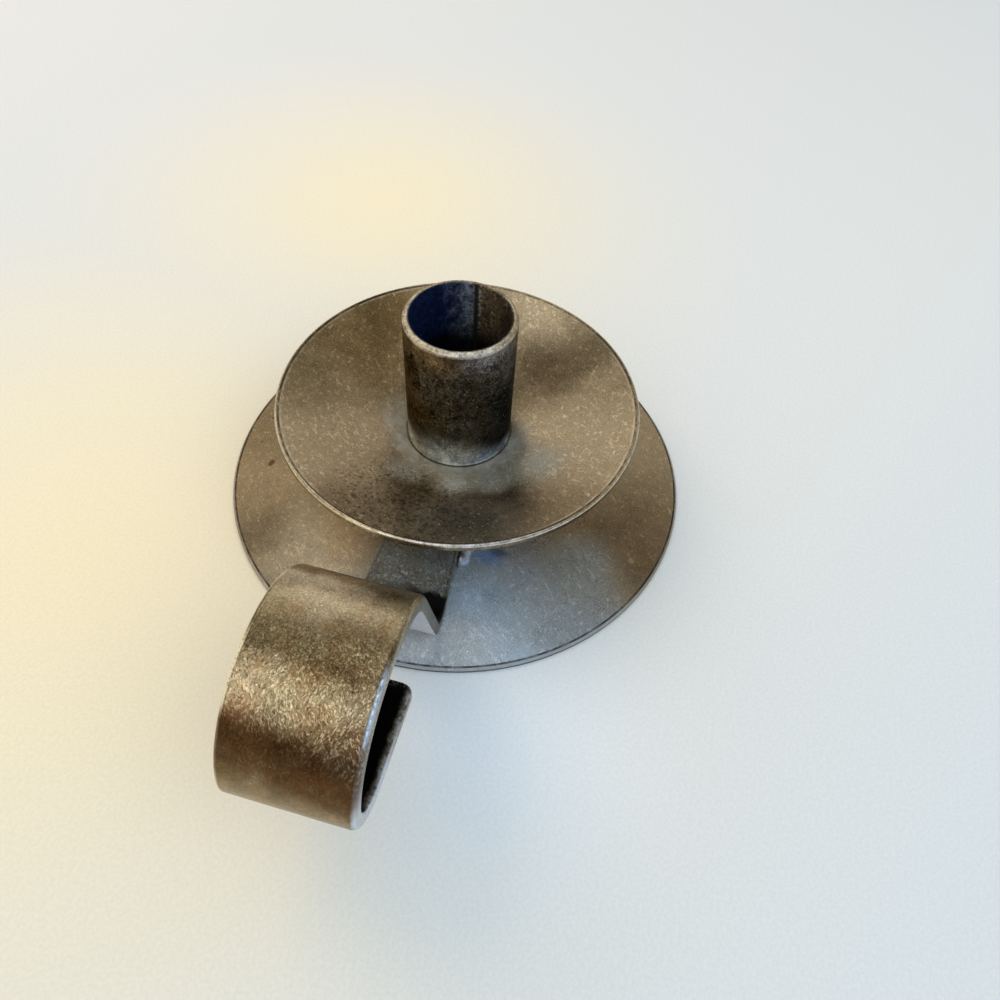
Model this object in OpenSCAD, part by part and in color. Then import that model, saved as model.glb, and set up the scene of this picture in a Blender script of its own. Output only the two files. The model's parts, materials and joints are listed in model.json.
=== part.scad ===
// Chamberstick of sheet steel: a cone base, a strap handle bent into a finger loop, a drip dish and
// a tube for a standard candle. All sizes are in millimetres.
// The table is z = 0 and the handle runs along +X. The origin lies under the middle of the overall
// length, and outlines are drawn from the candle's axis, which stands at x = axis_x.

/* [Base plate] */
// Outer diameter of the cone that stands on the table
base_d = 115; // [100:1:140]
// Thickness of the base sheet
base_t = 1.5; // [1:0.1:2.2]
// Steepness of the base cone, measured from the table
base_angle = 9.2; // [7:0.1:12]
// Width of the flat ring that is worn under the rim
base_land = 1; // [0.5:0.1:2]
// Width of the flat seat outside the rivet's head
seat_margin = 2.5; // [1.5:0.1:4]
// Inside radius of the bend between the cone and its flat seat
seat_bend_r = 4; // [3:0.5:6]
// Radius of the softened upper edge of the rim
base_edge_r = 0.6; // [0.2:0.1:0.8]

/* [Drip dish] */
// Outer diameter of the dish
dish_d = 86; // [75:1:95]
// Thickness of the dish sheet
dish_t = 1.5; // [1:0.1:2]
// Steepness of the dish cone, measured from the table
dish_angle = 20.3; // [16:0.1:24]
// Width of the flat floor outside the rivet's head
floor_margin = 1; // [0.5:0.1:2]
// Radius of the worn edges of the dish rim
dish_edge_r = 0.4; // [0.1:0.05:0.4]

/* [Candle tube] */
// Bore of the tube, for a standard table candle
candle_bore = 22; // [20:0.5:24]
// Wall thickness of the tube
tube_wall = 1.5; // [1.4:0.1:2]
// Length of the tube from its foot to its mouth
tube_length = 35; // [25:1:50]
// Radius of the rounded outer lip of the mouth
tube_lip_r = 1; // [0.5:0.1:1.1]
// Radius of the small rounding at the mouth of the bore
bore_edge_r = 0.2; // [0.1:0.05:0.2]
// Radius of the rounding at the tube's foot
tube_foot_r = 0.3; // [0.1:0.05:0.4]

/* [Strap handle] */
// Thickness of the strap
strap_t = 3; // [2.5:0.1:4]
// Width of the strap round the finger loop
strap_w = 24.1; // [20:0.1:28]
// Width of the strap at the candle's axis
root_w = 13.5; // [12:0.1:18]
// How fast the strap widens at first, where 1 is an even taper
taper_power = 1.5; // [1:0.1:2]
// How far the strap's root reaches past the candle's axis
root_past = 9; // [7:0.5:12]
// Radius of the rounded corners of the root
root_corner_r = 4; // [2:0.5:5]
// How far inside the base's rim the strap bends up
valley_inset = 14; // [9:0.1:18]
// Inside radius of the bend that turns the strap up
valley_r = 4.5; // [2:0.1:7]
// Steepness of the leg that rises from the base
leg_angle = 70.2; // [65:0.1:76]
// Straight length of the leg
leg_length = 30.2; // [27:0.1:38]
// Inside radius of the crest
crest_r = 12.7; // [8:0.1:14]
// Angle that the strap turns at the crest
crest_turn = 58; // [45:0.1:60]
// Inside radius of the outer side of the loop
loop_r = 19.9; // [18:0.1:24]
// Angle that the strap turns at the outer side
loop_turn = 87.1; // [80:0.1:100]
// Inside radius of the curl under the loop
curl_r = 7; // [4:0.5:9]
// Angle that the strap turns at the curl
curl_turn = 105.4; // [95:0.1:110]
// Straight length of the tail, from the curl to the free end
tail_length = 18.4; // [12:0.1:22]
// Radius of the rounded corners of the free end
tail_corner_r = 2; // [1:0.5:4]
// Radius of the strap's long edges on its outer face
outer_edge_r = 1; // [0.3:0.1:1.2]
// Radius of the strap's long edges on its inner face
inner_edge_r = 0.4; // [0.2:0.1:0.6]

/* [Rivet and welds] */
// Diameter of the rivet that holds base, strap and dish together
rivet_d = 5; // [4:0.5:6]
// Diameter of the rivet's two heads
rivet_head_d = 8; // [7:0.5:10]
// Height of each rivet head
rivet_head_h = 1.6; // [1:0.1:2.5]
// Play between the rivet and its holes
rivet_play = 0.05; // [0.02:0.01:0.2]
// How far the weld under the tube's foot reaches into the bore
socket_weld_toe = 0.3; // [0.1:0.1:0.5]
// Radius of one drop of the weld beads beside the strap
weld_r = 2.2; // [1.5:0.1:2.8]
// Distance between the drops of one bead
weld_pitch = 1.5; // [1:0.1:2]
// Distance from the candle's axis to the bead on the side that shows
near_weld_x = 28.5; // [24:0.5:34]
// Distance from the candle's axis to the bead on the far side
far_weld_x = 20.5; // [16:0.5:26]

/* [Hidden] */

$fn = 96;
arc_step = 18;
bend_step = 5;
weld_drops = 3;

base_r = base_d / 2;
dish_r = dish_d / 2;
bore_r = candle_bore / 2;
tube_r = bore_r + tube_wall;
rivet_r = rivet_d / 2;
head_r = rivet_head_d / 2;
hole_r = rivet_r + rivet_play;
seat_r = head_r + seat_margin;
floor_r = head_r + floor_margin;

// The sheet of the base, cut flat under its rim
base_top_rim_z = base_t / cos(base_angle) - base_land * tan(base_angle);
seat_z = base_top_z(seat_r);
seat_under_z = seat_z - base_t;
seat_under_r = base_r - base_land - seat_under_z / tan(base_angle);
seat_tangent = seat_bend_r * tan(base_angle / 2);

// The dish stands on the strap, which lies on the seat
strap_top_z = seat_z + strap_t;
floor_z = strap_top_z + dish_t;
rim_r = dish_r - dish_t * sin(dish_angle);
floor_under_r = floor_r + dish_t * tan(dish_angle / 2);

tube_foot_z = dish_z(tube_r);
tube_top_z = tube_foot_z + tube_length;

// The strap's centre line as [straight length, bend radius, bend angle], where up is positive
strap_steps = [
    [root_past + seat_r - seat_tangent, seat_bend_r + strap_t / 2, -base_angle],
    [(base_r - valley_inset - seat_r) / cos(base_angle) - seat_tangent, valley_r + strap_t / 2, base_angle + leg_angle],
    [leg_length, crest_r + strap_t / 2, -crest_turn],
    [0, loop_r + strap_t / 2, -loop_turn],
    [0, curl_r + strap_t / 2, -curl_turn],
    [tail_length - tail_corner_r, 0, 0]];
// The strap widens from the candle's axis to the end of the crest
taper_length = step_length(strap_steps[0]) + step_length(strap_steps[1]) + step_length(strap_steps[2])
    - root_past;
strap_start = [-root_past, seat_z + strap_t / 2];
strap_stations = walk(0, strap_start, 0, -root_past);
loop_end_x = max([for (station = strap_stations) station.x - strap_t / 2 * sin(station[2])]);
axis_x = (base_r - loop_end_x) / 2;

// Height of the base's upper face at radius r, outside its flat seat
function base_top_z(r) = base_t / cos(base_angle) + (base_r - base_land - r) * tan(base_angle);

// Height of the dish's inner face at radius r, outside its flat floor
function dish_z(r) = floor_z + (r - floor_r) * tan(dish_angle);

// Unit vector from p to q
function toward(p, q) = (q - p) / norm(q - p);

// The corner q between p and s, rounded with radius r
function corner(p, q, s, r) =
    let (
        u = toward(q, p),
        v = toward(q, s),
        half = acos(max(-1, min(1, u * v))) / 2,
        centre = q + toward([0, 0], u + v) * r / sin(half),
        from = q + u * r / tan(half) - centre,
        to = q + v * r / tan(half) - centre,
        start = atan2(from.y, from.x),
        turn = (atan2(to.y, to.x) - start + 540) % 360 - 180,
        n = ceil(abs(turn) / arc_step - 0.01)
    )
    [for (i = [0 : n]) centre + r * [cos(start + turn * i / n), sin(start + turn * i / n)]];

// An outline of [x, y, corner radius] with its corners rounded
function rounded(outline) =
    let (n = len(outline))
    [for (i = [0 : n - 1])
        let (
            a = outline[(i + n - 1) % n],
            b = outline[i],
            c = outline[(i + 1) % n]
        )
        each b[2] == 0 ? [[b.x, b.y]] : corner([a.x, a.y], [b.x, b.y], [c.x, c.y], b[2])];

// Moves a piece from the candle's axis to its place in the frame
module on_axis() {
    translate([axis_x, 0, 0])
        children();
}

// A turned sheet or tube, from an outline in radius and height
module turned(outline) {
    rotate_extrude()
        polygon(rounded(outline));
}

// Length of one step along the strap's centre line
function step_length(step) = step[0] + step[1] * abs(step[2]) * PI / 180;

// Half the strap's width at distance s along it from the candle's axis
function half_width(s) =
    (strap_w - (strap_w - root_w) * pow(max(0, 1 - max(0, s) / taper_length), taper_power)) / 2;

// The strap's cross-section with half width h, as [across, outward]
function strap_section(h) = rounded([
    [h, strap_t / 2, outer_edge_r],
    [-h, strap_t / 2, outer_edge_r],
    [-h, -strap_t / 2, inner_edge_r],
    [h, -strap_t / 2, inner_edge_r]]);

// Stations along the steps from step k on, as [x, z, heading, distance]
function walk(k, p, heading, s) = k == len(strap_steps) ? [] :
    let (
        step = strap_steps[k],
        side = sign(step[2]),
        q = p + step[0] * [cos(heading), sin(heading)],
        centre = q + side * step[1] * [-sin(heading), cos(heading)],
        n = ceil(abs(step[2]) / bend_step),
        after = heading + step[2],
        bend_length = step[1] * abs(step[2]) * PI / 180
    )
    concat(
        step[0] > 0 ? [[q.x, q.y, heading, s + step[0]]] : [],
        [for (i = [1 : 1 : n])
            let (a = heading + step[2] * i / n, m = centre - side * step[1] * [-sin(a), cos(a)])
            [m.x, m.y, a, s + step[0] + bend_length * i / n]],
        walk(k + 1, centre - side * step[1] * [-sin(after), cos(after)], after, s + step[0] + bend_length));

// One ring of points round the strap at a station, narrowed by inset on each side
function ring(station, inset) =
    [for (p = strap_section(half_width(station[3]) - inset))
        [station.x - p.y * sin(station[2]), p.x, station.y + p.y * cos(station[2])]];

// Rings round a corner of radius r at the strap's root (way = -1) or free end (way = 1)
function end_rings(station, r, way) =
    [for (a = way < 0 ? [0 : arc_step : 90] : [90 - arc_step : -arc_step : 0])
        let (d = way * r * cos(a))
        ring([station.x + d * cos(station[2]), station.y + d * sin(station[2]), station[2],
            station[3] + d], r * (1 - sin(a)))];

// A closed skin over rings that all have the same number of points
module skin(rings) {
    n = len(rings[0]);
    last = len(rings) - 1;
    sides = [for (i = [0 : last - 1], j = [0 : n - 1])
        let (a = i * n + j, b = i * n + (j + 1) % n)
        each [[a, a + n, b], [b, a + n, b + n]]];
    first_cap = [for (j = [1 : n - 2]) [0, j, j + 1]];
    last_cap = [for (j = [1 : n - 2]) [last * n, last * n + j + 1, last * n + j]];
    polyhedron([for (r = rings) each r], concat(sides, first_cap, last_cap), convexity = 6);
}

module base_plate() {
    color("#75706a")
    on_axis()
    turned([
        [hole_r, seat_z, 0],
        [seat_r, seat_z, seat_bend_r],
        [base_r, base_top_rim_z, base_edge_r],
        [base_r, 0, 0.2],
        [base_r - base_land, 0, 0],
        [seat_under_r, seat_under_z, seat_bend_r - base_t],
        [hole_r, seat_under_z, 0]]);
}

module strap_handle() {
    tail = strap_stations[len(strap_stations) - 1];
    root = [strap_start.x + root_corner_r, strap_start.y, 0, root_corner_r - root_past];
    color("#6d6660")
    on_axis()
    difference() {
        skin(concat(
            end_rings(root, root_corner_r, -1),
            [for (station = strap_stations) ring(station, 0)],
            end_rings(tail, tail_corner_r, 1)));
        translate([0, 0, seat_z - strap_t])
            cylinder(r = hole_r, h = 3 * strap_t);
    }
}

module drip_dish() {
    color("#7b746b")
    on_axis()
    turned([
        [hole_r, floor_z, 0],
        [floor_r, floor_z, 0],
        [rim_r, dish_z(rim_r), dish_edge_r],
        [dish_r, dish_z(rim_r) - dish_t * cos(dish_angle), dish_edge_r],
        [floor_under_r, strap_top_z, 0],
        [hole_r, strap_top_z, 0]]);
}

module candle_tube() {
    color("#4c4843")
    on_axis()
    turned([
        [bore_r, tube_foot_z, 0],
        [tube_r, tube_foot_z, tube_foot_r],
        [tube_r, tube_top_z, tube_lip_r],
        [bore_r, tube_top_z, bore_edge_r]]);
}

// Half of a rivet head, a low dome that starts at height 0
module rivet_head() {
    dome_r = (head_r * head_r + rivet_head_h * rivet_head_h) / (2 * rivet_head_h);
    intersection() {
        translate([0, 0, rivet_head_h - dome_r])
            sphere(r = dome_r);
        cylinder(r = head_r, h = rivet_head_h);
    }
}

module centre_rivet() {
    color("#5f5b56")
    on_axis() {
        translate([0, 0, seat_under_z - rivet_head_h / 2])
            cylinder(r = rivet_r, h = floor_z - seat_under_z + rivet_head_h);
        translate([0, 0, floor_z])
            rivet_head();
        translate([0, 0, seat_under_z])
            mirror([0, 0, 1])
                rivet_head();
    }
}

// The ring of weld in the wedge between the tube's flat foot and the dish. Outside it stops short of
// the tube's face, which leaves a fine crevice.
module socket_weld() {
    toe_r = bore_r - socket_weld_toe;
    crevice_r = tube_r - tube_foot_r - 0.2;
    color("#4a4641")
    on_axis()
    turned([
        [toe_r, dish_z(toe_r), 0],
        [crevice_r, dish_z(crevice_r), 0],
        [crevice_r, tube_foot_z, 0],
        [bore_r, tube_foot_z, 0]]);
}

// A row of weld drops along the strap's side, centred at distance x from the candle's axis
module weld_bead(x) {
    half = half_width(x);
    intersection() {
        for (i = [0 : weld_drops - 1]) {
            drop_x = x + (i - (weld_drops - 1) / 2) * weld_pitch;
            translate([drop_x, half + weld_r / 3, base_top_z(drop_x)])
                sphere(r = weld_r - 0.15 * (i % 2));
        }
        difference() {
            translate([x - 4 * weld_r, half_width(x + 4 * weld_r), 0])
                cube([8 * weld_r, 4 * weld_r, 4 * seat_z]);
            turned([
                [0, seat_z, 0],
                [seat_r, seat_z, 0],
                [base_r, base_top_rim_z, 0],
                [base_r, -1, 0],
                [0, -1, 0]]);
        }
    }
}

module root_welds() {
    color("#8d8f90")
    on_axis() {
        weld_bead(near_weld_x);
        mirror([0, 1, 0])
            weld_bead(far_weld_x);
    }
}

base_plate();
strap_handle();
drip_dish();
candle_tube();
centre_rivet();
socket_weld();
root_welds();
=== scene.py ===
"""Looks of the chamberstick: aged steel sheet, strap and tube on a pale table, in soft studio light."""
import json
import math
import bpy
from mathutils import Matrix, Vector


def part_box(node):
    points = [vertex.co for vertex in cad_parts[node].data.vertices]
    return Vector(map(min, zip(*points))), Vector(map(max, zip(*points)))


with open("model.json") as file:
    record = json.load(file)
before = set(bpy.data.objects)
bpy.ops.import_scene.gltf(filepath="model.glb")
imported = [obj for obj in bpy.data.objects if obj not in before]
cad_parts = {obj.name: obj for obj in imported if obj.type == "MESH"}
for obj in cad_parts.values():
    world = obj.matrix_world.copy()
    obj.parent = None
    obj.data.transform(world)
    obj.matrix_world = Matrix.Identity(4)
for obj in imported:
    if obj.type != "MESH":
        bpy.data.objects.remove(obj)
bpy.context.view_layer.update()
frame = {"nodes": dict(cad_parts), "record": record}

NODES = frame["nodes"]
SOCKET = next(m for m in frame["record"]["mounts"] if m["name"] == "candle_socket")
AXIS_X = SOCKET["pos_m"][0]
BORE_R = SOCKET["dims"]["r_mm"] / 1000
BASE_LO, BASE_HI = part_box("base_plate")
DISH_LO, DISH_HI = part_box("drip_dish")
TUBE_LO, TUBE_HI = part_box("candle_tube")
BASE_R = (BASE_HI.y - BASE_LO.y) / 2
DISH_R = (DISH_HI.y - DISH_LO.y) / 2
TUBE_R = (TUBE_HI.y - TUBE_LO.y) / 2


# Camera: the photograph's viewing angle, found from the rims that share the candle's axis
FOCAL_PX = 779.2
SENSOR_MM = 36.0
IMAGE_PX = 1000
CAMERA_DISTANCE = 0.20656
CAMERA_ELEVATION = math.radians(50.91)
CAMERA_AZIMUTH = math.radians(16.1)
CAMERA_YAW = math.radians(-5.107)
CAMERA_DIP = math.radians(2.027)
CAMERA_ROLL = math.radians(4.866)


def add_camera():
    """The camera stands off the candle's foot, towards the handle, and looks a little past it."""
    towards = Vector((math.cos(CAMERA_AZIMUTH), math.sin(CAMERA_AZIMUTH), 0))
    right = Vector((-towards.y, towards.x, 0))
    place = (towards * math.cos(CAMERA_ELEVATION) + Vector((0, 0, math.sin(CAMERA_ELEVATION)))) * CAMERA_DISTANCE
    pitch = CAMERA_ELEVATION + CAMERA_DIP
    ahead = -towards * math.cos(CAMERA_YAW) - right * math.sin(CAMERA_YAW)
    forward = ahead * math.cos(pitch) - Vector((0, 0, math.sin(pitch)))
    level = right * math.cos(CAMERA_YAW) - towards * math.sin(CAMERA_YAW)
    above = level.cross(forward)
    x = level * math.cos(CAMERA_ROLL) + above * math.sin(CAMERA_ROLL)
    y = above * math.cos(CAMERA_ROLL) - level * math.sin(CAMERA_ROLL)
    data = bpy.data.cameras.new("camera")
    data.sensor_width = SENSOR_MM
    data.lens = FOCAL_PX * SENSOR_MM / IMAGE_PX
    data.clip_start = 0.01
    camera = bpy.data.objects.new("camera", data)
    bpy.context.scene.collection.objects.link(camera)
    turn = Matrix((x, y, -forward)).transposed().to_4x4()
    camera.matrix_world = Matrix.Translation(place + Vector((AXIS_X, 0, 0))) @ turn
    bpy.context.scene.camera = camera
    return right, towards


RIGHT, TOWARDS = add_camera()


class Graph:
    """A small helper that adds shader nodes and wires them."""

    def __init__(self, tree):
        self.tree = tree
        tree.nodes.clear()

    def add(self, kind, inputs=None, **props):
        node = self.tree.nodes.new(kind)
        for name, value in props.items():
            setattr(node, name, value)
        for key, value in (inputs or {}).items():
            self.put(node.inputs[key], value)
        return node

    def put(self, socket, value):
        if isinstance(value, bpy.types.NodeSocket):
            self.tree.links.new(value, socket)
        else:
            socket.default_value = value

    def math(self, op, a, b=0.0, c=0.0):
        return self.add("ShaderNodeMath", {0: a, 1: b, 2: c}, operation=op).outputs[0]

    def times(self, a, b):
        return self.math("MULTIPLY", a, b)

    def plus(self, a, b):
        return self.math("ADD", a, b)

    def remap(self, value, lo, hi, to_lo=0.0, to_hi=1.0):
        inputs = {"Value": value, "From Min": lo, "From Max": hi, "To Min": to_lo, "To Max": to_hi}
        return self.add("ShaderNodeMapRange", inputs, interpolation_type="SMOOTHSTEP").outputs["Result"]

    def mix(self, factor, a, b, blend="MIX"):
        node = self.add("ShaderNodeMix", {0: factor}, data_type="RGBA", blend_type=blend)
        self.put(node.inputs[6], a)
        self.put(node.inputs[7], b)
        return node.outputs[2]

    def blend(self, factor, a, b):
        return self.add("ShaderNodeMix", {0: factor, 2: a, 3: b}, data_type="FLOAT").outputs[0]

    def scaled(self, tint, factor):
        tint = tint[:3] if isinstance(tint, tuple) else tint
        node = self.add("ShaderNodeVectorMath", {0: tint, "Scale": factor}, operation="SCALE")
        return node.outputs["Vector"]

    def noise(self, place, scale, detail=2.0, rough=0.5, distort=0.0):
        inputs = {"Vector": place, "Scale": scale, "Detail": detail, "Roughness": rough, "Distortion": distort}
        return self.add("ShaderNodeTexNoise", inputs).outputs["Fac"]

    def streaks(self, place, way, scale):
        """Noise drawn out along a direction, as short hairline marks."""
        way = Vector(way).normalized()
        side = way.orthogonal().normalized()
        parts = [self.times(self.along(place, axis), size)
                 for axis, size in ((side, scale), (way.cross(side), scale), (way, scale / 3.5))]
        drawn = self.add("ShaderNodeCombineXYZ", dict(enumerate(parts))).outputs[0]
        return self.noise(drawn, 1.0, 2.0, 0.6, 0.8)

    def moved(self, place, offset=(0, 0, 0), scale=(1, 1, 1)):
        inputs = {"Vector": place, "Location": offset, "Scale": scale}
        return self.add("ShaderNodeMapping", inputs).outputs["Vector"]

    def distance(self, a, b):
        return self.add("ShaderNodeVectorMath", {0: a, 1: b}, operation="DISTANCE").outputs["Value"]

    def along(self, vector, direction):
        inputs = {0: vector, 1: direction}
        return self.add("ShaderNodeVectorMath", inputs, operation="DOT_PRODUCT").outputs["Value"]

    def split(self, vector):
        return self.add("ShaderNodeSeparateXYZ", {0: vector}).outputs


def colour(r, g, b):
    return (r, g, b, 1.0)


# Linear colours of the steel and of what has settled on it, and of the painted highlights, reflections and shade
# laid over it
STEEL = colour(0.40, 0.315, 0.205)
PALE = colour(0.50, 0.40, 0.265)
WARM_REFLECTION = colour(0.40, 0.29, 0.165)
WARM_BROWN = colour(0.34, 0.23, 0.11)
BLUISH = colour(0.31, 0.365, 0.40)
BROWN = colour(0.22, 0.16, 0.095)
DARK = colour(0.085, 0.078, 0.060)
WORN = colour(0.80, 0.77, 0.70)
SOOT = colour(0.018, 0.017, 0.016)
EDGE_BLUE_SHEEN = colour(0.62, 0.68, 0.76)
RUST = colour(0.11, 0.045, 0.02)
OXIDE = colour(0.115, 0.052, 0.016)
BLUE_BLACK = colour(0.020, 0.026, 0.036)
BROWN_BLACK = colour(0.050, 0.030, 0.014)
GOLD = colour(0.92, 0.78, 0.54)
STROKE = colour(0.82, 0.73, 0.56)
WHITE_GOLD = colour(1.0, 0.93, 0.80)
SILVER_REFLECTION = colour(0.94, 0.96, 1.0)
INNER_HIGHLIGHT = colour(0.68, 0.60, 0.47)
RIM_HIGHLIGHT_WHITE = colour(0.66, 0.63, 0.56)
RIM_HIGHLIGHT_TAN = colour(0.50, 0.42, 0.28)
GOLD_EDGE_HIGHLIGHT = colour(0.85, 0.68, 0.38)
BLUE_EDGE_HIGHLIGHT = colour(0.27, 0.31, 0.38)
HIGHLIGHT_CORE_WHITE = colour(0.80, 0.86, 0.95)
REDDEN = colour(0.84, 0.68, 0.55)
STRAP_STEEL = colour(0.320, 0.268, 0.165)
STRAP_GRIME = colour(0.19, 0.132, 0.056)
PAINTED_HIGHLIGHT = colour(0.62, 0.50, 0.34)
SLATE_REFLECTION = colour(0.38, 0.46, 0.54)
LOWER_BROWN = colour(0.155, 0.087, 0.031)
LOWEST_BROWN = colour(0.29, 0.210, 0.112)
PALE_GREY = colour(0.60, 0.60, 0.62)
TAIL_GREY = colour(0.42, 0.42, 0.43)
EDGE_STEEL = colour(0.30, 0.27, 0.22)
FOOT_PAINTED_LIGHT = colour(0.30, 0.275, 0.22)
SHADE_BLACK = colour(0.004, 0.004, 0.004)


class Spot:
    """A soft patch of another colour: round or stretched, strongest at its middle."""

    def __init__(self, centre, radius, tint, strength, stretch=(1, 1, 1), metal=1.0, core=0.25):
        self.centre, self.radius, self.tint, self.strength = centre, radius, tint, strength
        self.stretch, self.metal, self.core = stretch, metal, core


def steel(name, tint, roughness, grain=1.0, mottle=1.0, streaky=0.0, flecks=0.0, grime=BROWN, spots=(), marks=(), wear=None,
          wear_tint=WORN, rim_tint=1.0, extra=None):
    """Aged steel: fine pitted grain, faint clouds, soft patches (some of them painted highlights, reflections and
    shade), small marks, and edges worn bright, in places as painted highlights.
    """
    material = bpy.data.materials.new(name)
    material.use_nodes = True
    g = Graph(material.node_tree)
    coords = g.add("ShaderNodeTexCoord").outputs
    place = coords["Object"]
    cloud = g.noise(place, 110.0, 4.0, 0.62, 0.3)
    blotch = g.noise(g.moved(place, (0.3, 0.1, 0.2)), 420.0, 3.0, 0.6)
    fine = g.noise(place, 3000.0, 2.0, 0.6)
    speck = g.noise(g.moved(place, (0.7, 0.2, 0.5)), 1900.0, 2.0, 0.65)
    pit = g.noise(g.moved(place, (0.1, 0.6, 0.9)), 1000.0, 2.0, 0.6)
    base, metal = tint, 1.0
    wobble = g.times(g.math("SUBTRACT", cloud, 0.5), 0.5)
    for spot in spots:
        centre = Vector(spot.centre)
        shape = [1 / (spot.radius * s) for s in spot.stretch]
        offset = g.add("ShaderNodeVectorMath", {0: place, 1: centre}, operation="SUBTRACT").outputs[0]
        reach = g.add("ShaderNodeVectorMath", {0: offset, 1: shape}, operation="MULTIPLY").outputs[0]
        reach = g.plus(g.add("ShaderNodeVectorMath", {0: reach}, operation="LENGTH").outputs["Value"], wobble)
        cover = g.remap(reach, spot.core, 1.25, spot.strength, 0.0)
        base = g.mix(cover, base, spot.tint)
        if spot.metal < 1:
            metal = g.blend(cover, metal, spot.metal)
    shade = g.plus(g.remap(cloud, 0.3, 0.7, 1 - 0.16 * mottle, 1 + 0.16 * mottle),
                   g.remap(blotch, 0.3, 0.7, -0.12 * mottle, 0.12 * mottle))
    shade = g.plus(shade, g.remap(fine, 0.3, 0.7, -0.42 * grain, 0.42 * grain))
    if streaky:
        lay = g.noise(g.moved(place, (0.5, 0.8, 0.2)), 260.0, 1.0, 0.5)
        hairs = g.blend(g.remap(lay, 0.44, 0.56), g.streaks(place, (-0.5, 0.35, 0.7), 2900.0),
                        g.streaks(place, (-0.5, -0.45, 0.7), 2900.0))
        where = g.split(place)
        slanted = g.math("SUBTRACT", where["X"], g.times(where["Y"], 0.139))
        amount = g.times(g.remap(where["X"], 0.050, 0.062, 0.45 * streaky, streaky),
                         g.remap(slanted, 0.0690, 0.0735, 1.0, 0.12))
        shade = g.plus(shade, g.times(g.remap(hairs, 0.30, 0.50, -0.60, 0.0), amount))
        base = g.mix(g.times(g.remap(hairs, 0.36, 0.50, 0.2, 0.0), amount), base, grime)
        base = g.mix(g.times(g.remap(hairs, 0.52, 0.64, 0.0, 1.0), amount), base, g.mix(0.5, g.scaled(base, 2.0), STROKE))
        base = g.mix(g.remap(g.noise(g.moved(place, (0.2, 0.9, 0.6)), 160.0, 3.0, 0.6), 0.46, 0.60, 0.0, 0.6), base,
                     g.mix(1.0, base, REDDEN, "MULTIPLY"))
    base = g.scaled(base, shade)
    base = g.mix(g.remap(speck, 0.62, 0.74, 0.0, 0.6 * grain), base, g.scaled(base, 2.0))
    base = g.mix(g.remap(speck, 0.68, 0.71, 0.0, 0.6), base, g.scaled(base, 2.5) if streaky else WORN)
    if flecks:
        chips = g.noise(g.moved(place, (0.9, 0.3, 0.4)), 900.0, 2.0, 0.5)
        hairs = g.streaks(place, (0.6, 0.7, 0.0), 1100.0)
        base = g.mix(g.remap(g.math("MAXIMUM", chips, hairs), 0.58, 0.67, 0.0, 0.45 * flecks), base, g.scaled(base, 1.7))
        base = g.mix(g.remap(g.math("MAXIMUM", chips, hairs), 0.71, 0.76, 0.0, 0.4 * flecks), base, WORN)
    pits = g.remap(pit, 0.62, 0.74, 0.0, 0.75 * grain)
    base = g.mix(pits, base, g.scaled(base, 0.3))
    rough = g.remap(cloud, 0.3, 0.7, roughness - 0.05, roughness + 0.05)
    rough = g.plus(rough, g.times(g.math("SUBTRACT", fine, 0.5), 0.3 * grain))
    if extra is not None:
        base, metal, rough = extra(g, coords, base, metal, rough, cloud, blotch)
    for mark in marks:
        reach = g.plus(g.distance(place, mark.centre), g.times(g.math("SUBTRACT", blotch, 0.5), mark.radius * 1.6))
        base = g.mix(g.remap(reach, mark.radius * 0.6, mark.radius * 1.2, mark.strength, 0.0), base, mark.tint)
    if wear is not None:
        worn = g.times(wear(g, coords), g.remap(blotch, 0.28, 0.62, 0.45, 1.0))
        base = g.mix(worn, base, wear_tint(g, coords) if callable(wear_tint) else wear_tint)
        rough = g.blend(worn, rough, 0.27)
    height = g.plus(g.times(fine, 0.5), g.times(speck, 0.9))
    height = g.math("SUBTRACT", height, g.times(pits, 0.8))
    bump = g.add("ShaderNodeBump", {"Strength": 0.3 * grain, "Distance": 0.0001, "Height": height})
    swell = g.noise(g.moved(place, (0.4, 0.4, 0.1)), 60.0, 1.0, 0.5)
    wave = g.add("ShaderNodeBump", {"Strength": 0.25, "Distance": 0.001, "Height": swell,
                                    "Normal": bump.outputs[0]})
    shader = g.add("ShaderNodeBsdfPrincipled", {"Base Color": base, "Metallic": metal, "Roughness": rough,
                                                "Normal": wave.outputs[0]})
    shader.inputs["Specular Tint"].default_value = colour(rim_tint, rim_tint, rim_tint)
    g.add("ShaderNodeOutputMaterial", {"Surface": shader.outputs[0]})
    return material


def radius_from_axis(g, place):
    parts = g.split(place)
    dx = g.math("SUBTRACT", parts["X"], AXIS_X)
    return g.math("SQRT", g.plus(g.times(dx, dx), g.times(parts["Y"], parts["Y"])))


def ring(g, coords, radius, width):
    """How much a point lies on a thin ring around the candle's axis."""
    off = g.math("ABSOLUTE", g.math("SUBTRACT", radius_from_axis(g, coords["Object"]), radius))
    return g.remap(off, width * 0.3, width * 0.7, 1.0, 0.0)


def base_finish(g, coords, base, metal, rough, cloud, blotch):
    """The cut edge is made half matte, so it reads pale, between two dark lines of painted shade; the lowest is a
    painted contact shadow at the table.
    """
    place = coords["Object"]
    edge = g.remap(radius_from_axis(g, place), BASE_R - 0.0008, BASE_R - 0.0005)
    base = g.mix(edge, base, g.mix(0.5, base, EDGE_STEEL))
    line = g.times(g.remap(blotch, 0.35, 0.6, 0.6, 0.95), ring(g, coords, BASE_R - 0.0007, 0.00045))
    # Painted contact shadow: a dark band along the plate's bottom where it meets the table.
    line = g.math("MAXIMUM", line, g.remap(g.split(place)["Z"], 0.0006, 0.0010, 0.9, 0.0))
    shade_line_tint = g.mix(g.remap(g.split(place)["Y"], -0.035, 0.0), BROWN_BLACK, BLUE_BLACK)
    return g.mix(line, base, shade_line_tint), g.blend(g.times(edge, 0.6), metal, 0.0), g.blend(line, rough, 0.5)


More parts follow.
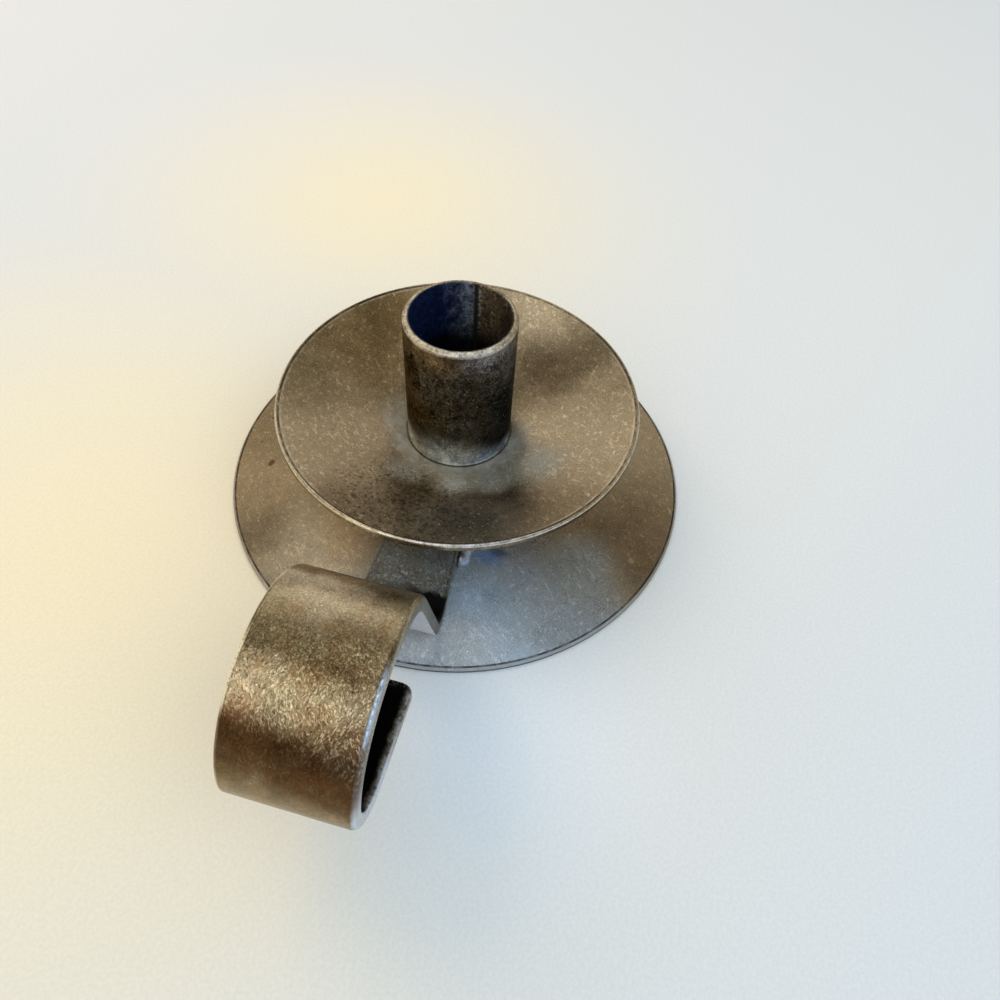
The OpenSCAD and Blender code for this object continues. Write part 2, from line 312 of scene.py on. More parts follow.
def dish_finish(g, coords, base, metal, rough, cloud, blotch):
    """Dark lines of painted shade run beside the rim's worn corners, along the middle of its edge and in the crevice
    round the tube's foot; a light strip by the rim's inner corner is a painted highlight, and a matte grey patch
    round the front of the foot is painted light.
    """
    place = coords["Object"]
    height = g.split(place)["Z"]
    edge = g.remap(radius_from_axis(g, place), DISH_R - 0.0009, DISH_R - 0.0006)
    middle = g.times(g.remap(height, DISH_HI.z - 0.00140, DISH_HI.z - 0.00115),
                     g.remap(height, DISH_HI.z - 0.0005, DISH_HI.z - 0.0003, 1.0, 0.0))
    sides = g.remap(g.math("ABSOLUTE", g.split(place)["Y"]), 0.016, 0.032)
    middle = g.times(middle, g.blend(sides, 0.35, 1.0))
    line = g.times(g.remap(blotch, 0.35, 0.6, 0.35, 0.9), ring(g, coords, DISH_R - 0.0010, 0.0005))
    # Painted highlight: a light strip by the rim's inner corner.
    inner = g.times(g.times(sides, ring(g, coords, DISH_R - 0.00145, 0.00045)), g.remap(blotch, 0.35, 0.6, 0.1, 0.6))
    base = g.mix(inner, base, INNER_HIGHLIGHT)
    line = g.math("MAXIMUM", line, g.times(edge, middle))
    # Painted shade: a dark ring in the crevice at the tube's foot.
    line = g.math("MAXIMUM", line, g.times(0.85, ring(g, coords, TUBE_R + 0.0001, 0.0009)))
    # Painted light: a matte grey patch round the front of the tube's foot.
    ragged = g.times(g.math("SUBTRACT", cloud, 0.5), 0.010)
    foot = g.remap(g.plus(radius_from_axis(g, place), ragged), TUBE_R + 0.001, TUBE_R + 0.008, 0.9, 0.0)
    foot = g.times(foot, g.remap(g.split(place)["X"], AXIS_X - 0.010, AXIS_X + 0.004))
    base = g.mix(foot, base, g.scaled(FOOT_PAINTED_LIGHT, g.remap(blotch, 0.3, 0.7, 0.7, 1.3)))
    rusty = g.remap(g.distance(place, RUSTY_PLACE), 0.010, 0.022, 1.0, 0.0)
    dots = g.noise(g.moved(place, (0.8, 0.5, 0.2)), 1000.0, 2.0, 0.6)
    base = g.mix(g.times(rusty, g.remap(dots, 0.53, 0.60, 0.0, 0.75)), base, g.scaled(base, 0.35))
    return g.mix(line, base, g.scaled(base, 0.2)), g.blend(foot, metal, 0.1), rough


def dish_wear_and_highlight(g, coords):
    """The rim's upper edge is worn bright, most of all towards the handle; the bright rim is partly real wear and
    partly a painted highlight.
    """
    place = coords["Object"]
    height = g.split(place)["Z"]
    sides = g.remap(g.math("ABSOLUTE", g.split(place)["Y"]), 0.020, 0.034, 0.0, 0.0003)
    rim = g.remap(g.math("SUBTRACT", radius_from_axis(g, place), sides), DISH_R - 0.0010, DISH_R - 0.0008)
    top = g.remap(height, DISH_HI.z - 0.0005, DISH_HI.z - 0.00025)
    low = g.remap(height, DISH_HI.z - 0.00115, DISH_HI.z - 0.00135, 0.0, 0.9)
    front = g.remap(g.split(place)["X"], AXIS_X - 0.02, AXIS_X + 0.030, 0.45, 1.0)
    broken = g.remap(g.noise(place, 1100.0, 3.0, 0.65), 0.36, 0.54, 0.45, 1.0)
    return g.times(g.times(rim, g.plus(top, low)), g.times(front, broken))


def dish_rim_reflection_tint(g, coords):
    """The rim's bright edge takes a painted reflection: silvery where it faces the cool side of the room, and golden
    elsewhere.
    """
    reach = g.distance(coords["Object"], (AXIS_X + 0.0390, 0.0160, DISH_HI.z))
    return g.mix(g.remap(reach, 0.010, 0.028, 1.0, 0.0), GOLD, SILVER_REFLECTION)


def tube_wear(g, coords):
    """The tube's lip is worn, and a thin worn line runs around its foot."""
    height = g.split(coords["Object"])["Z"]
    lip = g.remap(height, TUBE_HI.z - 0.0013, TUBE_HI.z - 0.0003, 0.0, 0.75)
    lip = g.times(lip, g.remap(radius_from_axis(g, coords["Object"]), BORE_R + 0.0003, BORE_R + 0.0006))
    lip = g.times(lip, g.remap(g.noise(coords["Object"], 1400.0, 2.0, 0.6), 0.38, 0.60, 0.45, 1.0))
    foot = g.remap(height, TUBE_LO.z + 0.0005, TUBE_LO.z + 0.0009, 0.55, 0.0)
    return g.plus(lip, foot)


def lip_wear_and_highlight_tint(g, coords):
    where = g.split(coords["Object"])
    # The worn lip is golden, turning white-gold towards the front right as a painted highlight.
    cool = g.times(g.remap(where["X"], AXIS_X + 0.004, AXIS_X + 0.012), g.remap(where["Y"], -0.004, 0.003))
    return g.mix(cool, GOLD, WHITE_GOLD)


def strap_wear_and_highlight(g, coords):
    """The strap bends about Y alone, so a face that leans part of the way to Y lies on a rounded edge; its
    brightening, faint high on the loop and strong near the bottom, is partly real wear and partly a painted
    highlight.
    """
    lean = g.math("ABSOLUTE", g.split(coords["Normal"])["Y"])
    edge = g.times(g.remap(lean, 0.12, 0.45), g.remap(lean, 0.93, 0.995, 1.0, 0.0))
    where = g.split(coords["Object"])
    high = g.times(g.remap(where["X"], 0.056, 0.062), g.remap(where["Z"], 0.0425, 0.0450, 0.1, 0.3))
    low = g.times(g.remap(where["Z"], 0.030, 0.036, 0.8, 0.0), g.remap(where["X"], 0.056, 0.062))
    return g.times(edge, g.math("MAXIMUM", high, low))


# Painted highlight on the worn edges: bluish on the right side, golden on the left.
def strap_edge_wear_and_sheen_tint(g, coords):
    return g.mix(g.remap(g.split(coords["Object"])["Y"], -0.004, 0.004), GOLD, EDGE_BLUE_SHEEN)


def bore_finish(g, coords, base, metal, rough, cloud, blotch):
    """Inside, the tube is dark, blue-black on one side of its seam and brown on the other; its darkening with depth
    and towards one side is painted shade, and a lit strip beside the seam is a painted highlight.
    """
    place = coords["Object"]
    side = g.split(place)["Y"]
    reach = g.math("SUBTRACT", radius_from_axis(g, place), g.remap(side, 0.0, 0.006, 0.0, 0.00025))
    inside = g.remap(reach, BORE_R + 0.0001, BORE_R + 0.0004, 1.0, 0.0)
    ragged = g.times(g.math("SUBTRACT", blotch, 0.5), 0.008)
    tint = g.mix(g.remap(g.plus(side, ragged), -0.0068, 0.0), BORE_BLUE, BORE_GREY)
    tint = g.mix(g.remap(side, -0.0015, 0.0015), tint, BORE_BROWN)
    grains = g.noise(place, 1500.0, 3.0, 0.7)
    shade = g.times(g.remap(blotch, 0.3, 0.65, 0.6, 1.2), g.remap(grains, 0.35, 0.65, 0.35, 1.6))
    # Painted shade: the bore darkens deeper down and towards one side.
    shade = g.times(shade, g.remap(g.split(place)["Z"], TUBE_HI.z - 0.017, TUBE_HI.z - 0.010, 0.10, 1.0))
    shade = g.times(shade, g.remap(side, 0.004, 0.0095, 1.0, 0.25))
    tint = g.scaled(tint, shade)
    seam = g.math("ABSOLUTE", g.math("SUBTRACT", side, SEAM_Y))
    tint = g.mix(g.remap(seam, 0.0003, 0.0006, 0.92, 0.0), tint, SOOT)
    # Painted highlight: a lit strip beside the seam.
    lit = g.math("ABSOLUTE", g.math("SUBTRACT", side, SEAM_Y + 0.0009))
    lit = g.times(g.remap(lit, 0.00015, 0.0004, 1.0, 0.0), g.remap(grains, 0.46, 0.56, 0.0, 0.8))
    lit = g.times(lit, g.remap(g.split(place)["Z"], TUBE_HI.z - 0.014, TUBE_HI.z - 0.011))
    tint = g.mix(lit, tint, SEAM_LIGHT)
    tint = g.mix(g.times(g.remap(side, 0.002, 0.005), g.remap(grains, 0.62, 0.68, 0.0, 0.7)), tint, SEAM_LIGHT)
    # Painted highlight: a pale matte strip round the lip's outer corner, on the side facing the front.
    shine = g.times(ring(g, coords, TUBE_R - 0.0006, 0.0014), g.remap(g.split(place)["Z"], TUBE_HI.z - 0.0008, TUBE_HI.z - 0.0004))
    facing = g.math("MAXIMUM", g.remap(g.split(place)["X"], AXIS_X, AXIS_X + 0.009), g.remap(side, -0.006, -0.011, 0.0, 0.8))
    shine = g.times(shine, g.times(facing, g.remap(grains, 0.38, 0.60, 0.05, 0.65)))
    base = g.mix(shine, base, g.mix(g.remap(side, -0.004, 0.002), RIM_HIGHLIGHT_TAN, RIM_HIGHLIGHT_WHITE))
    upper = g.remap(g.split(place)["Z"], FOOT_Z + 0.008, FOOT_Z + 0.016, 0.35, 1.0)
    upper = g.times(upper, g.remap(g.split(place)["Z"], TUBE_HI.z - 0.003, TUBE_HI.z - 0.001, 1.0, 0.0))
    vein = g.math("ABSOLUTE", g.math("SUBTRACT", g.noise(place, 700.0, 3.0, 0.6, 1.5), 0.5))
    base = g.mix(g.times(g.remap(vein, 0.008, 0.035, 0.85, 0.0), upper), base, g.scaled(base, 2.6))
    hollow = g.noise(g.moved(place, (0.6, 0.1, 0.3)), 800.0, 2.0, 0.6, 1.0)
    base = g.mix(g.times(g.remap(hollow, 0.53, 0.59, 0.0, 0.85), upper), base, g.scaled(base, 0.28))
    metal = g.blend(g.math("MAXIMUM", inside, shine), metal, 0.0)
    return g.mix(inside, base, tint), metal, g.blend(inside, rough, 0.5)


def strap_finish(g, coords, base, metal, rough, cloud, blotch):
    """The faces that look into the finger loop and into the valley are painted black as shade, and several faces are
    made pale and matte as painted light; below, it is smoother.
    """
    where = g.split(coords["Object"])
    offset = g.add("ShaderNodeVectorMath", {0: LOOP_CENTRE, 1: coords["Object"]}, operation="SUBTRACT").outputs[0]
    flat = g.add("ShaderNodeVectorMath", {0: offset, 1: (1, 0, 1)}, operation="MULTIPLY").outputs[0]
    inward = g.add("ShaderNodeVectorMath", {0: flat}, operation="NORMALIZE").outputs[0]
    # Painted shade: faces that look into the finger loop turn black.
    inside = g.remap(g.along(inward, coords["Normal"]), 0.15, 0.55)
    inside = g.times(inside, g.remap(where["X"], LOOP_START_X, LOOP_START_X + 0.003))
    # Painted light: the leg's back face is made pale grey and matte.
    lit_leg_back = g.times(g.remap(g.split(coords["Normal"])["X"], 0.6, 0.85),
                       g.remap(where["X"], LOOP_START_X, LOOP_START_X + 0.003, 1.0, 0.0))
    lean = g.math("ABSOLUTE", g.split(coords["Normal"])["Y"])
    ragged = g.times(g.math("SUBTRACT", blotch, 0.5), 0.004)
    # Painted shade: the faces in the valley turn black.
    valley = g.times(g.remap(g.plus(where["X"], ragged), VALLEY_X, VALLEY_X + 0.0016),
                     g.remap(where["X"], 0.0285, 0.0300, 1.0, 0.0))
    valley = g.times(valley, g.remap(lean, 0.80, 0.95, 1.0, 0.0))
    valley = g.times(valley, g.remap(where["Y"], -0.003, 0.004, 0.3, 1.0))
    root_edge = g.times(g.remap(lean, 0.10, 0.3, 0.0, 0.85), g.remap(where["X"], 0.034, 0.040, 1.0, 0.0))
    root_edge = g.times(root_edge, g.remap(lean, 0.93, 0.99, 1.0, 0.3))
    upper_edge = g.times(g.remap(lean, 0.15, 0.45, 0.0, 0.45), g.remap(where["X"], 0.056, 0.068, 1.0, 0.0))
    upper_edge = g.times(upper_edge, g.times(g.remap(lean, 0.93, 0.99, 1.0, 0.0), g.remap(where["X"], 0.048, 0.053)))
    smoother = g.remap(where["Z"], 0.030, 0.0375, 0.85, 0.0)
    smoother = g.times(smoother, g.remap(where["X"], 0.060, 0.066))
    grains = g.noise(g.moved(coords["Object"], (0.4, 0.7, 0.1)), 1300.0, 2.0, 0.6)
    specks = g.remap(grains, 0.58, 0.63, 0.0, 0.9)
    specks = g.times(specks, g.remap(where["X"], 0.012, 0.016))
    base = g.mix(g.times(specks, g.remap(where["X"], 0.022, 0.026, 1.0, 0.0)), base, PALE_GREY)
    lower = g.mix(g.remap(where["Z"], 0.0305, 0.0345), LOWEST_BROWN, LOWER_BROWN)
    lower = g.scaled(lower, g.times(g.remap(cloud, 0.3, 0.7, 0.75, 1.3), g.remap(grains, 0.3, 0.7, 0.80, 1.2)))
    base = g.mix(smoother, base, lower)
    base = g.mix(g.math("MAXIMUM", root_edge, upper_edge), base, g.scaled(base, 0.3))
    base = g.mix(lit_leg_back, base, PALE_GREY)
    # Painted highlight along the crest's rounded edges: golden on the left, bluish with a white core on the right.
    bevel_highlight = g.times(g.remap(lean, 0.12, 0.40), g.remap(lean, 0.90, 0.98, 1.0, 0.0))
    bevel_highlight = g.times(bevel_highlight, g.times(g.remap(where["X"], 0.056, 0.061), g.remap(where["Z"], 0.0420, 0.0445)))
    fine = g.noise(coords["Object"], 2100.0, 2.0, 0.6)
    bevel_highlight = g.times(bevel_highlight, g.remap(fine, 0.36, 0.50, 0.4, 1.0))
    core = g.times(g.remap(lean, 0.35, 0.50), g.remap(lean, 0.60, 0.78, 1.0, 0.0))
    core = g.times(core, g.remap(grains, 0.42, 0.56, 0.1, 1.0))
    edge_highlight_tint = g.mix(g.remap(where["Y"], -0.004, 0.004), GOLD_EDGE_HIGHLIGHT, g.mix(core, BLUE_EDGE_HIGHLIGHT, HIGHLIGHT_CORE_WHITE))
    base = g.mix(bevel_highlight, base, edge_highlight_tint)
    metal = g.blend(g.math("MAXIMUM", lit_leg_back, bevel_highlight), metal, 0.1)
    # Painted light: the lower side face of the loop is made pale grey and matte.
    lit_low_side = g.times(g.remap(lean, 0.35, 0.80, 0.0, 0.75), g.remap(where["Z"], 0.030, 0.038, 1.0, 0.0))
    lit_low_side = g.times(lit_low_side, g.times(g.remap(where["X"], 0.060, 0.066), g.remap(where["Y"], 0.0, 0.002)))
    base = g.mix(lit_low_side, base, PALE_GREY)
    black = g.math("MAXIMUM", inside, valley)
    # The tail's grey specks and its pale right edge are cut out of the painted black; the pale edge is a painted
    # highlight.
    tail = g.times(g.remap(where["X"], TAIL_X + 0.0005, TAIL_X + 0.0035, 0.6, 0.0), g.remap(fine, 0.46, 0.60))
    tail_edge = g.times(g.remap(g.plus(where["Y"], g.times(ragged, 0.4)), 0.0103, 0.0119, 0.0, 0.85), g.remap(where["Z"], 0.0235, 0.0260, 1.0, 0.0))
    tail = g.math("MAXIMUM", tail, g.times(tail_edge, g.remap(grains, 0.36, 0.58, 0.5, 1.0)))
    tail = g.times(tail, g.remap(where["X"], 0.040, 0.042))
    black = g.math("SUBTRACT", black, g.times(inside, tail))
    base = g.mix(g.times(inside, tail), base, TAIL_GREY)
    return g.mix(black, base, SHADE_BLACK), g.blend(g.math("MAXIMUM", lit_low_side, g.times(inside, tail)), metal, 0.1), g.blend(black, rough, 0.5)


VALLEY_X = 0.0200
TAIL_X = 0.0475
LOOP_CENTRE = (0.056, 0.0, 0.031)
LOOP_START_X = 0.043
BORE_BLUE = colour(0.006, 0.012, 0.045)
BORE_GREY = colour(0.14, 0.147, 0.172)
BORE_BROWN = colour(0.135, 0.088, 0.042)
SEAM_Y = 0.0004
SEAM_LIGHT = colour(0.34, 0.31, 0.27)


FOOT_Z = TUBE_LO.z
RUSTY_PLACE = (AXIS_X + 0.031, -0.004, 0.0235)


def assign(node, material):
    NODES[node].data.materials.clear()
    NODES[node].data.materials.append(material)


def smooth(node, angle):
    """Shades a CAD node smoothly, apart from edges sharper than the angle."""
    o = NODES[node]
    for name in ("custom_normal", "sharp_edge", "sharp_face"):
        attribute = o.data.attributes.get(name)
        if attribute:
            o.data.attributes.remove(attribute)
    o.data.shade_smooth()
    weld = o.modifiers.new("weld", "WELD")
    weld.merge_threshold = 1e-6
    split = o.modifiers.new("split", "EDGE_SPLIT")
    split.split_angle = math.radians(angle)


# Patches on the base: the warm one at the left and the slate one at the front right are painted reflections, the
# matte grey ones beside the handle's leg are painted light, the blue one under the dish's rim is a painted
# reflection, and the blue-black one beside it is painted shade.
BASE_TONES_AND_PAINTED_LIGHT = [
    Spot((-0.006, -0.047, 0.003), 0.034, WARM_REFLECTION, 0.85),
    Spot((0.028, 0.022, 0.002), 0.038, SLATE_REFLECTION, 1.0, (0.8, 1.3, 1), 0.3),
    Spot((0.030, 0.014, 0.002), 0.010, colour(0.37, 0.39, 0.40), 0.8, (1, 1.2, 1), 0.3),
    Spot((0.016, 0.036, 0.004), 0.014, colour(0.24, 0.25, 0.25), 0.8, (1, 1.3, 1), 0.4),
    Spot((-0.010, 0.051, 0.003), 0.025, BROWN, 0.8),
    Spot((0.019, -0.024, 0.004), 0.017, colour(0.68, 0.56, 0.39), 1.0),
    Spot((0.003, 0.037, 0.004), 0.011, colour(0.25, 0.25, 0.225), 0.9, (1, 1, 1), 0.5),
    Spot((0.014, -0.041, 0.003), 0.009, BROWN, 0.5),
    Spot((-0.020, -0.052, 0.002), 0.018, colour(0.24, 0.17, 0.09), 0.9),
    Spot((0.0305, 0.0055, 0.002), 0.0055, colour(0.47, 0.47, 0.47), 1.0, (1.2, 0.9, 1), 0.0, core=0.6),
    Spot((0.0070, 0.0155, 0.0070), 0.0040, colour(0.20, 0.33, 0.58), 0.95, (0.9, 1.4, 1), 0.5),
    Spot((0.0056, 0.0178, 0.0070), 0.0022, BLUE_BLACK, 0.85, (0.8, 1.7, 1), 0.8),
]
BASE_MARKS = [
    Spot((-0.0060, -0.0459, 0.0029), 0.0009, RUST, 0.8),
    Spot((-0.0212, -0.0524, 0.0022), 0.0006, RUST, 0.7),
    Spot((-0.0123, -0.0518, 0.0022), 0.0005, RUST, 0.6),
    Spot((-0.0037, 0.0485, 0.0023), 0.0008, PALE, 0.8),
    Spot((0.0112, 0.0153, 0.0060), 0.0009, colour(0.20, 0.22, 0.05), 0.6),
]
# Patches on the dish: the dark one right of the tube is painted shade, the matte light ones round the tube's foot
# are painted light, and the bright one at the far side is a painted highlight.
DISH_TONES_AND_PAINTED_LIGHT = [
    Spot((-0.038, -0.030, 0.024), 0.022, WARM_BROWN, 0.8),
    Spot((-0.0471, -0.0269, 0.026), 0.013, colour(0.17, 0.115, 0.05), 0.8),
    Spot((-0.0435, 0.0165, 0.0225), 0.014, BROWN, 0.80),
    Spot((-0.0149, -0.0376, 0.0255), 0.012, colour(0.26, 0.20, 0.115), 0.8),
    Spot((0.0130, 0.0115, 0.0245), 0.011, colour(0.070, 0.062, 0.042), 0.85, (1, 1.25, 1), 0.6),
    Spot((0.0055, 0.0315, 0.0265), 0.013, BROWN, 0.65),
    Spot((0.0170, -0.0137, 0.0265), 0.011, BROWN, 0.8),
    Spot((AXIS_X + 0.0195, 0.0045, 0.0190), 0.0055, colour(0.38, 0.36, 0.31), 0.9, (1, 1, 1), 0.2, core=0.0),
    Spot((-0.0115, 0.0215, 0.0205), 0.009, colour(0.36, 0.31, 0.22), 0.9, (1, 1, 1), 0.1, core=0.0),
    Spot((-0.0040, 0.0125, 0.0195), 0.006, colour(0.22, 0.21, 0.175), 0.8, (1, 1, 1), 0.2),
    Spot((AXIS_X + 0.0185, -0.0070, 0.0190), 0.006, colour(0.24, 0.215, 0.165), 0.7, (1, 1, 1), 0.2),
    Spot((-0.0580, 0.0150, 0.0265), 0.012, PAINTED_HIGHLIGHT, 1.0),
]
# Patches on the strap: the bright ones on the crest are painted highlights; the oxide ones are the strap's own
# colour.
STRAP_TONES_AND_HIGHLIGHTS = [
    Spot((0.0738, -0.0095, 0.0399), 0.0065, OXIDE, 0.95, (1.4, 1.5, 1), core=0.5),
    Spot((0.0748, 0.0020, 0.0384), 0.0065, OXIDE, 0.95, (1.4, 1.5, 1), core=0.5),
    Spot((0.0754, 0.0110, 0.0368), 0.0064, OXIDE, 0.95, (1.4, 1.2, 1), core=0.5),
    Spot((0.0478, -0.003, 0.0470), 0.0055, PAINTED_HIGHLIGHT, 0.68, (1, 2.5, 1)),
    Spot((0.0530, -0.002, 0.0484), 0.0035, PAINTED_HIGHLIGHT, 0.40, (1, 3, 1)),
    Spot((0.0590, 0.003, 0.0478), 0.0058, STRAP_GRIME, 0.70, (1, 2, 1)),
    Spot((0.0520, 0.008, 0.0482), 0.0036, PAINTED_HIGHLIGHT, 0.50, (1, 1.4, 1)),
    Spot((0.0450, -0.004, 0.0458), 0.0050, PAINTED_HIGHLIGHT, 0.70, (1, 2.4, 1)),
    Spot((0.0575, 0.0085, 0.0484), 0.0040, STRAP_GRIME, 0.55),
    Spot((0.0652, 0.0095, 0.0457), 0.0036, colour(0.19, 0.160, 0.115), 0.60),
    Spot((0.0765, -0.0090, 0.0355), 0.0040, colour(0.11, 0.060, 0.020), 0.60),
    Spot((0.0705, 0.0100, 0.0427), 0.0056, colour(0.13, 0.078, 0.040), 0.92),
    Spot((0.0560, -0.0090, 0.0484), 0.0070, colour(0.345, 0.250, 0.125), 0.65),
    Spot((0.0650, -0.009, 0.0462), 0.0050, colour(0.62, 0.50, 0.33), 0.35, (1.2, 1, 1.2)),
    Spot((0.0780, -0.010, 0.034), 0.0040, STRAP_GRIME, 0.50, (1.2, 1, 1.2)),
    Spot((0.0145, 0.0, 0.0081), 0.014, colour(0.25, 0.272, 0.262), 0.95, (1, 1.5, 1), 0.5),
    Spot((0.0425, -0.002, 0.0442), 0.0030, PAINTED_HIGHLIGHT, 0.55, (1, 3.5, 1)),
    Spot((0.0392, 0.0, 0.0402), 0.0027, DARK, 0.85, (1, 8, 1)),
]
# Patches on the tube: the near-black one on its right side is painted shade, and the pale matte and bluish ones
# round its foot are painted light and painted reflections.
TUBE_TONES_AND_PAINTED_LIGHT = [
    Spot((AXIS_X + 0.004, 0.0, 0.051), 0.007, BROWN, 0.9, (6, 6, 1)),
    Spot((AXIS_X + 0.0032, 0.0121, 0.030), 0.013, colour(0.032, 0.035, 0.034), 0.95, (0.7, 0.7, 1.3)),
    Spot((AXIS_X + 0.006, 0.012, 0.046), 0.008, colour(0.15, 0.155, 0.155), 0.85, (1, 0.8, 1)),
    Spot((AXIS_X + 0.006, -0.011, 0.035), 0.012, colour(0.135, 0.085, 0.035), 0.9, (0.7, 0.6, 2)),
    Spot((AXIS_X + 0.009, 0.009, 0.0490), 0.0075, colour(0.21, 0.215, 0.235), 0.85, (1, 1, 0.6)),
    Spot((AXIS_X + 0.0115, -0.005, 0.0315), 0.006, colour(0.080, 0.056, 0.022), 0.75),
    Spot((AXIS_X + 0.0115, 0.001, FOOT_Z), 0.0078, colour(0.40, 0.38, 0.31), 0.95, (1.3, 1.3, 1.2), 0.05),
    Spot((AXIS_X + 0.007, -0.010, FOOT_Z), 0.0072, colour(0.50, 0.42, 0.27), 0.95, (1.3, 1.3, 1), 0.05),
    Spot((AXIS_X + 0.009, 0.010, FOOT_Z - 0.001), 0.006, colour(0.26, 0.30, 0.37), 0.9, (1.2, 1.2, 1), 0.1),
    Spot((AXIS_X + 0.002, 0.0125, FOOT_Z), 0.0040, colour(0.22, 0.25, 0.31), 0.8, (1.2, 1.2, 1), 0.1),
]

assign("base_plate", steel("base_steel", STEEL, 0.31, mottle=0.45, grain=0.45, flecks=0.9, spots=BASE_TONES_AND_PAINTED_LIGHT,
                           marks=BASE_MARKS, extra=base_finish))
assign("drip_dish", steel("dish_steel", STEEL, 0.29, mottle=0.45, grain=0.55, flecks=1.4, spots=DISH_TONES_AND_PAINTED_LIGHT,
                          wear=dish_wear_and_highlight, wear_tint=dish_rim_reflection_tint, extra=dish_finish))
assign("candle_tube", steel("tube_steel", DARK, 0.38, mottle=2.6, grain=0.9, rim_tint=0.35, spots=TUBE_TONES_AND_PAINTED_LIGHT,
                            wear=tube_wear, wear_tint=lip_wear_and_highlight_tint, extra=bore_finish))
assign("strap_handle", steel("strap_steel", STRAP_STEEL, 0.30, mottle=1.0, grain=0.5, streaky=0.8,
                             grime=STRAP_GRIME, spots=STRAP_TONES_AND_HIGHLIGHTS,
                             wear=strap_wear_and_highlight, wear_tint=strap_edge_wear_and_sheen_tint, extra=strap_finish))
assign("centre_rivet", steel("rivet_steel", BROWN, 0.4))
assign("socket_weld", steel("weld_dark", DARK, 0.5))
# Painted highlight: the root welds are coloured light blue.
assign("root_welds", steel("weld_steel", colour(0.52, 0.64, 0.84), 0.4, grain=0.5))
smooth("strap_handle", 40)


# Floor colours: painted warm light, painted bluish light and a painted cool shadow over the table's own pale colour.
FLOOR_WARM_LIGHT = colour(0.94, 0.78, 0.51)
FLOOR_COOL = colour(0.770, 0.735, 0.675)
FLOOR_BLUISH_LIGHT = colour(0.70, 0.70, 0.675)
WARM_LIGHT_PLACE = (0.032, -0.078, 0.0)
FLOOR_COLD_SHADE = colour(0.775, 0.81, 0.84)
COLD_SHADE_PLACE = (0.044, 0.022, 0.0)
FAR_WARM_LIGHT_PLACE = (-0.13, -0.06, 0.0)


def add_floor():
    """A pale table, wide enough to fill every view, painted with warm light towards the left and far side, bluish
    light towards the near right, and a cool shadow beside the base and the handle's tail.
    """
    mesh = bpy.data.meshes.new("floor")
    half = 30.0
    mesh.from_pydata([(-half, -half, 0), (half, -half, 0), (half, half, 0), (-half, half, 0)], [], [(0, 1, 2, 3)])
    floor = bpy.data.objects.new("floor", mesh)
    bpy.context.scene.collection.objects.link(floor)
    material = bpy.data.materials.new("floor")
    material.use_nodes = True
    g = Graph(material.node_tree)
    place = g.add("ShaderNodeTexCoord").outputs["Object"]
    weave = g.noise(place, 1400.0, 2.0, 0.6)
    warm_light_reach = g.math("MINIMUM", g.distance(place, WARM_LIGHT_PLACE), g.plus(g.distance(place, FAR_WARM_LIGHT_PLACE), 0.03))
    tint = g.mix(g.remap(warm_light_reach, 0.0, 0.17), FLOOR_WARM_LIGHT, FLOOR_COOL)
    near_right = g.plus(g.along(place, RIGHT), g.along(place, TOWARDS))
    tint = g.mix(g.remap(near_right, 0.04, 0.22), tint, FLOOR_BLUISH_LIGHT)
    tint = g.mix(g.remap(g.distance(place, COLD_SHADE_PLACE), 0.0, 0.055, 0.9, 0.0), tint, FLOOR_COLD_SHADE)
    tint = g.scaled(tint, g.remap(weave, 0.3, 0.7, 0.97, 1.03))
    bump = g.add("ShaderNodeBump", {"Strength": 0.1, "Distance": 0.0002, "Height": weave})
    shader = g.add("ShaderNodeBsdfPrincipled", {"Base Color": tint, "Roughness": 0.9, "Normal": bump.outputs[0]})
    shader.inputs["Specular IOR Level"].default_value = 0.1
    g.add("ShaderNodeOutputMaterial", {"Surface": shader.outputs[0]})
    mesh.materials.append(material)


def add_lamp(name, place, target, size, power, tint):
    data = bpy.data.lights.new(name, "AREA")
    data.shape = "DISK"
    data.size = size
    data.energy = power
    data.color = tint
    lamp = bpy.data.objects.new(name, data)
    bpy.context.scene.collection.objects.link(lamp)
    lamp.location = place
    lamp.rotation_euler = (Vector(target) - Vector(place)).to_track_quat("-Z", "Y").to_euler()
    lamp.visible_glossy = False
    return lamp


def stand(right, away, up):
    """A place given as the photograph shows it: metres to the right, away from the camera, and up."""
    return Vector((AXIS_X, 0, 0)) + RIGHT * right - TOWARDS * away + Vector((0, 0, up))


CENTRE = stand(0, 0, 0.02)
add_lamp("key", stand(-0.40, 0.35, 0.60), CENTRE, 0.5, 1.8, (1.0, 0.77, 0.48))
add_lamp("fill", stand(0.35, -0.35, 0.60), CENTRE, 0.6, 1.25, (0.72, 0.90, 1.0))

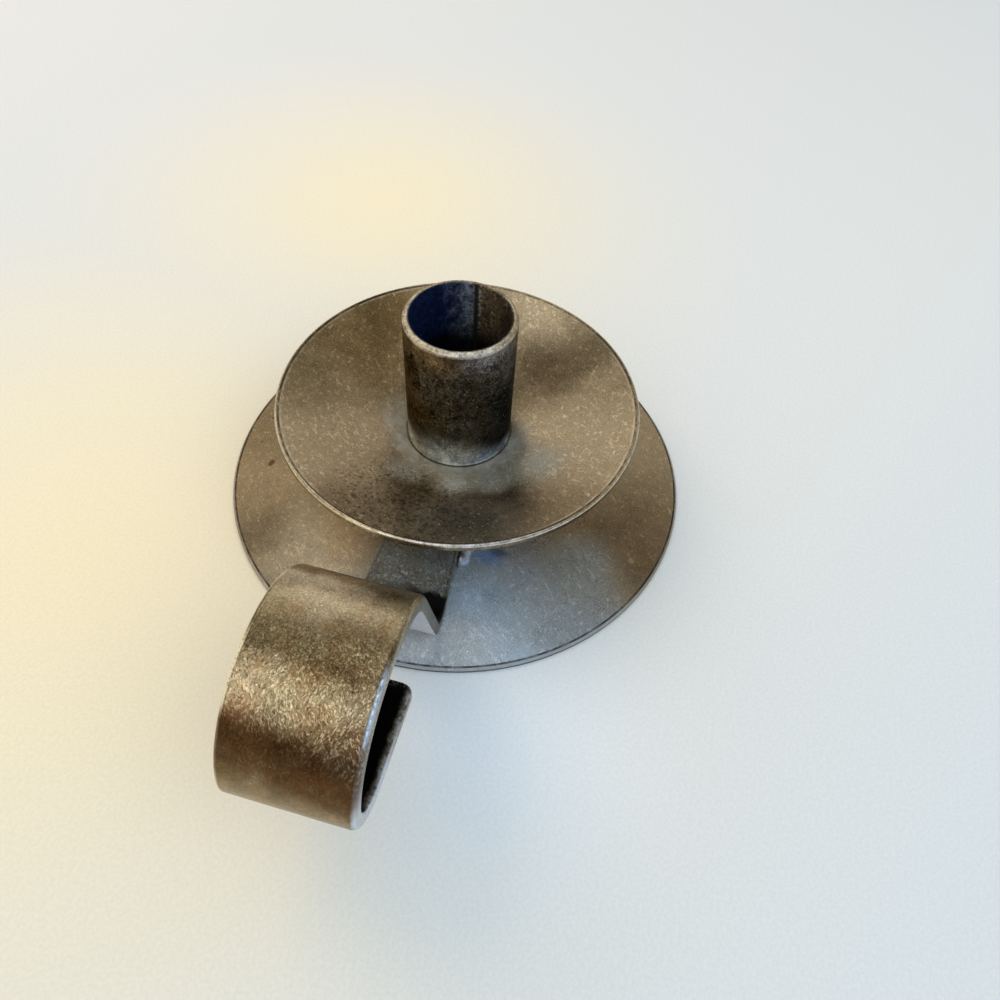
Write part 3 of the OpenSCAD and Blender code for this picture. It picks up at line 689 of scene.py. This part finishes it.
# The backdrop, which the camera and the metal both see, in the directions right, away and up of the photograph
LOW = colour(0.30, 0.27, 0.23)
GAP = colour(0.27, 0.25, 0.20)
FAR_WALL = colour(1.0, 0.96, 0.88)
OVERHEAD = colour(1.15, 1.15, 1.10)
BEHIND = colour(1.35, 1.27, 1.15)
OVERHEAD_WAY = (-0.03, 0.18, 0.98)
BEHIND_WAY = (-0.44, -0.50, 0.745)


def add_world():
    world = bpy.data.worlds.new("world")
    bpy.context.scene.world = world
    world.use_nodes = True
    g = Graph(world.node_tree)
    path = g.add("ShaderNodeLightPath").outputs
    seen = g.math("MAXIMUM", path["Is Camera Ray"],
                  g.math("MAXIMUM", path["Is Glossy Ray"], path["Is Transmission Ray"]))
    direction = g.add("ShaderNodeTexCoord").outputs["Generated"]
    up = g.split(direction)["Z"]
    right = g.along(direction, RIGHT)
    away = g.math("MULTIPLY", g.along(direction, TOWARDS), -1.0)
    tint = g.mix(g.remap(up, 0.2, 0.6), LOW, GAP)
    band = g.times(g.remap(up, 0.24, 0.50), g.remap(up, 0.60, 0.80, 1.0, 0.0))
    band = g.times(band, g.remap(away, -0.05, 0.40))
    band = g.times(band, g.remap(right, -0.05, 0.45, 1.0, 0.5))
    tint = g.mix(band, tint, FAR_WALL)
    for way, glow, rim, core in ((OVERHEAD_WAY, OVERHEAD, 0.950, 0.990), (BEHIND_WAY, BEHIND, 0.83, 0.95)):
        middle = RIGHT * way[0] - TOWARDS * way[1] + Vector((0, 0, way[2]))
        tint = g.mix(g.remap(g.along(direction, middle), rim, core), tint, glow)
    ambient = g.add("ShaderNodeBackground", {"Color": colour(0.85, 0.97, 1.11), "Strength": 0.83})
    backdrop = g.add("ShaderNodeBackground", {"Color": tint, "Strength": 1.0})
    both = g.add("ShaderNodeMixShader", {0: seen, 1: ambient.outputs[0], 2: backdrop.outputs[0]})
    g.add("ShaderNodeOutputWorld", {"Surface": both.outputs[0]})


bpy.context.scene.view_settings.view_transform = "Standard"
add_world()
add_floor()
